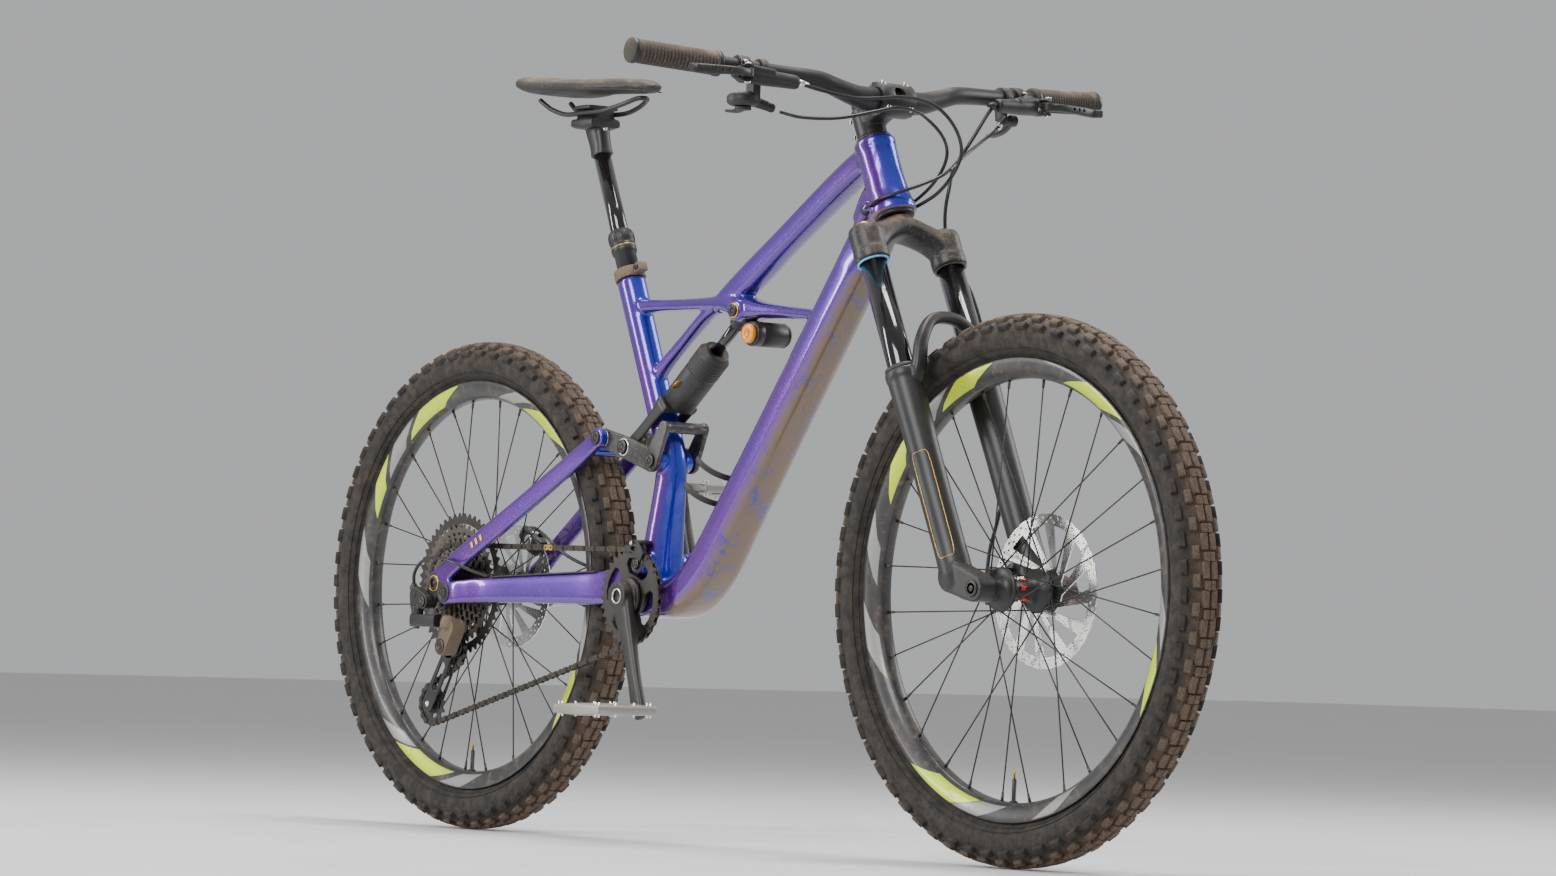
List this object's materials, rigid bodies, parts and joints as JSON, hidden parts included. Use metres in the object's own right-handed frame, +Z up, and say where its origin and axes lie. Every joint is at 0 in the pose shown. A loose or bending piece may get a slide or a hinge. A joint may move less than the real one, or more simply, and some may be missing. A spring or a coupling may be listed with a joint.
{
  "type": "full-suspension mountain bike",
  "caption": "Full-suspension mountain bike: violet frame with linkage-driven shock, long-travel fork, disc brakes, dropper post, wide bar and knobbly dusty tyres.",
  "frame": {"origin": "the point of the ground under the rear axle, in the centre plane of the bike", "axes": "+X forwards along the wheelbase, +Y to the rider's left, +Z up; the chain side is -Y"},
  "size_m": [1.91, 0.8048, 1.085],
  "materials": {
    "violet_paint": "high gloss, shifts between violet and blue, dusty",
    "black_paint": "matte black, scuffed and dusty",
    "black_anodised": "gloss black tube with scuffs",
    "black_plastic": "matte, dusty",
    "dark_steel": "dark, worn and dusty",
    "rotor_steel": "polished brake rotor",
    "grey_alloy": "bare grey, scraped",
    "grip_rubber": "worn, dusty",
    "tyre_rubber": "dusty brown, muddy knobs",
    "hose_black": "smooth black hose",
    "saddle_cover": "black cover with a dusty top"
  },
  "bodies": {
    "frame": {"front_triangle": "violet_paint", "seat_clamp": "black_paint", "dropper_lower_tube": "black_paint", "bottle_cage": "black_plastic", "chain_guide": "black_plastic", "chain": "dark_steel", "rear_brake_line": "hose_black", "shift_cable_rear": "hose_black"},
    "seatpost": {"seatpost_upper": "black_anodised", "saddle_rails": "black_paint", "saddle": "saddle_cover"},
    "steering": {"fork_upper": "black_anodised", "stem": "black_paint", "stem_faceplate": "black_paint", "handlebar": "black_paint", "grip_right": "grip_rubber", "grip_left": "grip_rubber", "brake_master_right": "black_paint", "brake_master_left": "black_paint", "shifter": "black_plastic", "dropper_remote": "black_plastic", "rear_brake_hose": "hose_black", "shift_cable": "hose_black", "dropper_cable": "hose_black", "front_brake_hose": "hose_black"},
    "lever_right": {"brake_lever_right": "black_paint"},
    "lever_left": {"brake_lever_left": "black_paint"},
    "shift_paddle": {"shift_paddle": "black_plastic"},
    "dropper_paddle": {"dropper_paddle": "black_plastic"},
    "fork_lowers": {"fork_lowers": "black_paint", "front_caliper": "black_paint", "front_axle": "dark_steel"},
    "front_wheel": {"front_tyre": "tyre_rubber", "front_rim": "black_paint", "front_hub": "black_paint", "front_rotor": "rotor_steel"},
    "chainstay": {"chainstay": "violet_paint"},
    "seatstay": {"seatstay": "violet_paint", "rear_caliper": "black_paint", "rear_axle": "dark_steel", "derailleur_body": "black_paint"},
    "rear_wheel": {"rear_tyre": "tyre_rubber", "rear_rim": "black_paint", "rear_hub": "black_paint", "rear_rotor": "rotor_steel"},
    "cassette": {"cassette": "dark_steel"},
    "rocker": {"rocker_link": "black_paint"},
    "shock_shaft": {"shock_damper": "black_paint"},
    "shock_body": {"shock_can": "black_plastic", "shock_yoke": "black_paint"},
    "crank": {"crank_arm_right": "black_paint", "crank_arm_left": "black_paint", "chainring": "dark_steel"},
    "pedal_right": {"pedal_right": "grey_alloy"},
    "pedal_left": {"pedal_left": "grey_alloy"},
    "derailleur_link": {"derailleur_link": "black_paint"},
    "derailleur_knuckle": {"derailleur_knuckle": "dark_steel"},
    "derailleur_cage": {"derailleur_cage": "black_paint"},
    "guide_pulley": {"guide_pulley": "black_plastic"},
    "tension_pulley": {"tension_pulley": "black_plastic"}
  },
  "joints": [
    {"name": "steering", "type": "hinge", "parent": "frame", "child": "steering", "pos_m": [0.925, 0, 0.847], "axis": [-0.4147, 0, 0.91], "range_deg": [-48, 48], "deforming": ["rear_brake_hose", "shift_cable", "dropper_cable"]},
    {"name": "dropper", "type": "slide", "parent": "frame", "child": "seatpost", "axis": [-0.3939, 0, 0.9191], "range_m": [-0.118, 0]},
    {"name": "brake_lever_right", "type": "hinge", "parent": "steering", "child": "lever_right", "pos_m": [0.93235, -0.258, 1.01465], "axis": [0, 0, 1], "range_deg": [-14, 0], "stiffness_Nm_per_rad": 2, "springref_deg": 5.73},
    {"name": "brake_lever_left", "type": "hinge", "parent": "steering", "child": "lever_left", "pos_m": [0.93235, 0.258, 1.01465], "axis": [0, 0, 1], "range_deg": [0, 14], "stiffness_Nm_per_rad": 2, "springref_deg": -5.73},
    {"name": "shift_paddle", "type": "hinge", "parent": "steering", "child": "shift_paddle", "pos_m": [0.87285, -0.218, 0.97859], "axis": [0, 0, 1], "range_deg": [-25, 0], "stiffness_Nm_per_rad": 0.6, "springref_deg": 5.73},
    {"name": "dropper_paddle", "type": "hinge", "parent": "steering", "child": "dropper_paddle", "pos_m": [0.90028, 0.222, 0.99522], "axis": [0, 1, 0], "range_deg": [-18, 0], "stiffness_Nm_per_rad": 0.6, "springref_deg": 8.59},
    {"name": "fork_travel", "type": "slide", "parent": "steering", "child": "fork_lowers", "axis": [-0.4147, 0, 0.91], "range_m": [0, 0.146], "stiffness_N_per_m": 7000, "springref_m": -0.02, "deforming": ["front_brake_hose"]},
    {"name": "front_wheel_spin", "type": "hinge", "parent": "fork_lowers", "child": "front_wheel", "pos_m": [1.2, 0, 0.355], "axis": [0, 1, 0], "continuous": true},
    {"name": "rear_suspension", "type": "hinge", "parent": "frame", "child": "chainstay", "pos_m": [0.438, 0, 0.386], "axis": [0, 1, 0], "range_deg": [0, 22], "stiffness_Nm_per_rad": 1500, "springref_deg": -2.86, "deforming": ["rear_brake_line", "shift_cable_rear", "chain"]},
    {"name": "horst_pivot", "type": "hinge", "parent": "chainstay", "child": "seatstay", "pos_m": [0.04, 0, 0.341], "axis": [0, 1, 0], "range_deg": [-8.3, 0.2]},
    {"name": "rocker_pivot", "type": "hinge", "parent": "frame", "child": "rocker", "pos_m": [0.452, 0, 0.529], "axis": [0, 1, 0], "range_deg": [-0.5, 46]},
    {"name": "shock_eye", "type": "hinge", "parent": "frame", "child": "shock_shaft", "pos_m": [0.614, 0, 0.733], "axis": [0, 1, 0], "range_deg": [-0.2, 3.5]},
    {"name": "shock_stroke", "type": "slide", "parent": "shock_shaft", "child": "shock_body", "axis": [0.7755, 0, 0.6314], "range_m": [-0.001, 0.0505]},
    {"name": "rear_wheel_spin", "type": "hinge", "parent": "seatstay", "child": "rear_wheel", "pos_m": [0, 0, 0.355], "axis": [0, 1, 0], "continuous": true},
    {"name": "cassette_spin", "type": "hinge", "parent": "seatstay", "child": "cassette", "pos_m": [0, 0, 0.355], "axis": [0, 1, 0], "continuous": true},
    {"name": "crank_spin", "type": "hinge", "parent": "frame", "child": "crank", "pos_m": [0.432, 0, 0.34], "axis": [0, 1, 0], "continuous": true},
    {"name": "pedal_right_spin", "type": "hinge", "parent": "crank", "child": "pedal_right", "pos_m": [0.49842, 0, 0.18351], "axis": [0, 1, 0], "continuous": true},
    {"name": "pedal_left_spin", "type": "hinge", "parent": "crank", "child": "pedal_left", "pos_m": [0.36558, 0, 0.49649], "axis": [0, 1, 0], "continuous": true},
    {"name": "derailleur_shift", "type": "hinge", "parent": "seatstay", "child": "derailleur_link", "pos_m": [-0.028, -0.092, 0.3008], "axis": [0, 0, 1], "range_deg": [-18, 2]},
    {"name": "derailleur_level", "type": "hinge", "parent": "derailleur_link", "child": "derailleur_knuckle", "pos_m": [0.032, -0.092, 0.3008], "axis": [0, 0, 1], "range_deg": [-2.2, 18.2]},
    {"name": "cage_swing", "type": "hinge", "parent": "derailleur_knuckle", "child": "derailleur_cage", "pos_m": [0.026, -0.062, 0.264], "axis": [0, 1, 0], "range_deg": [-45, 6], "stiffness_Nm_per_rad": 0.5, "springref_deg": 51.57},
    {"name": "guide_pulley_spin", "type": "hinge", "parent": "derailleur_cage", "child": "guide_pulley", "pos_m": [0.008, -0.05, 0.258], "axis": [0, 1, 0], "continuous": true},
    {"name": "tension_pulley_spin", "type": "hinge", "parent": "derailleur_cage", "child": "tension_pulley", "pos_m": [-0.042, -0.05, 0.18], "axis": [0, 1, 0], "continuous": true}
  ],
  "couplings": [
    {"joint": "horst_pivot", "follows": "rear_suspension", "ratio": -0.3702},
    {"joint": "rocker_pivot", "follows": "rear_suspension", "ratio": 2.0749},
    {"joint": "shock_eye", "follows": "rear_suspension", "ratio": 0.1487},
    {"joint": "shock_stroke", "follows": "rear_suspension", "m_per_rad": 0.13048},
    {"joint": "cassette_spin", "follows": "crank_spin", "ratio": 1.1429},
    {"joint": "guide_pulley_spin", "follows": "crank_spin", "ratio": -2.6667},
    {"joint": "tension_pulley_spin", "follows": "crank_spin", "ratio": 2.2857},
    {"joint": "derailleur_level", "follows": "derailleur_shift", "ratio": -1}
  ]
}
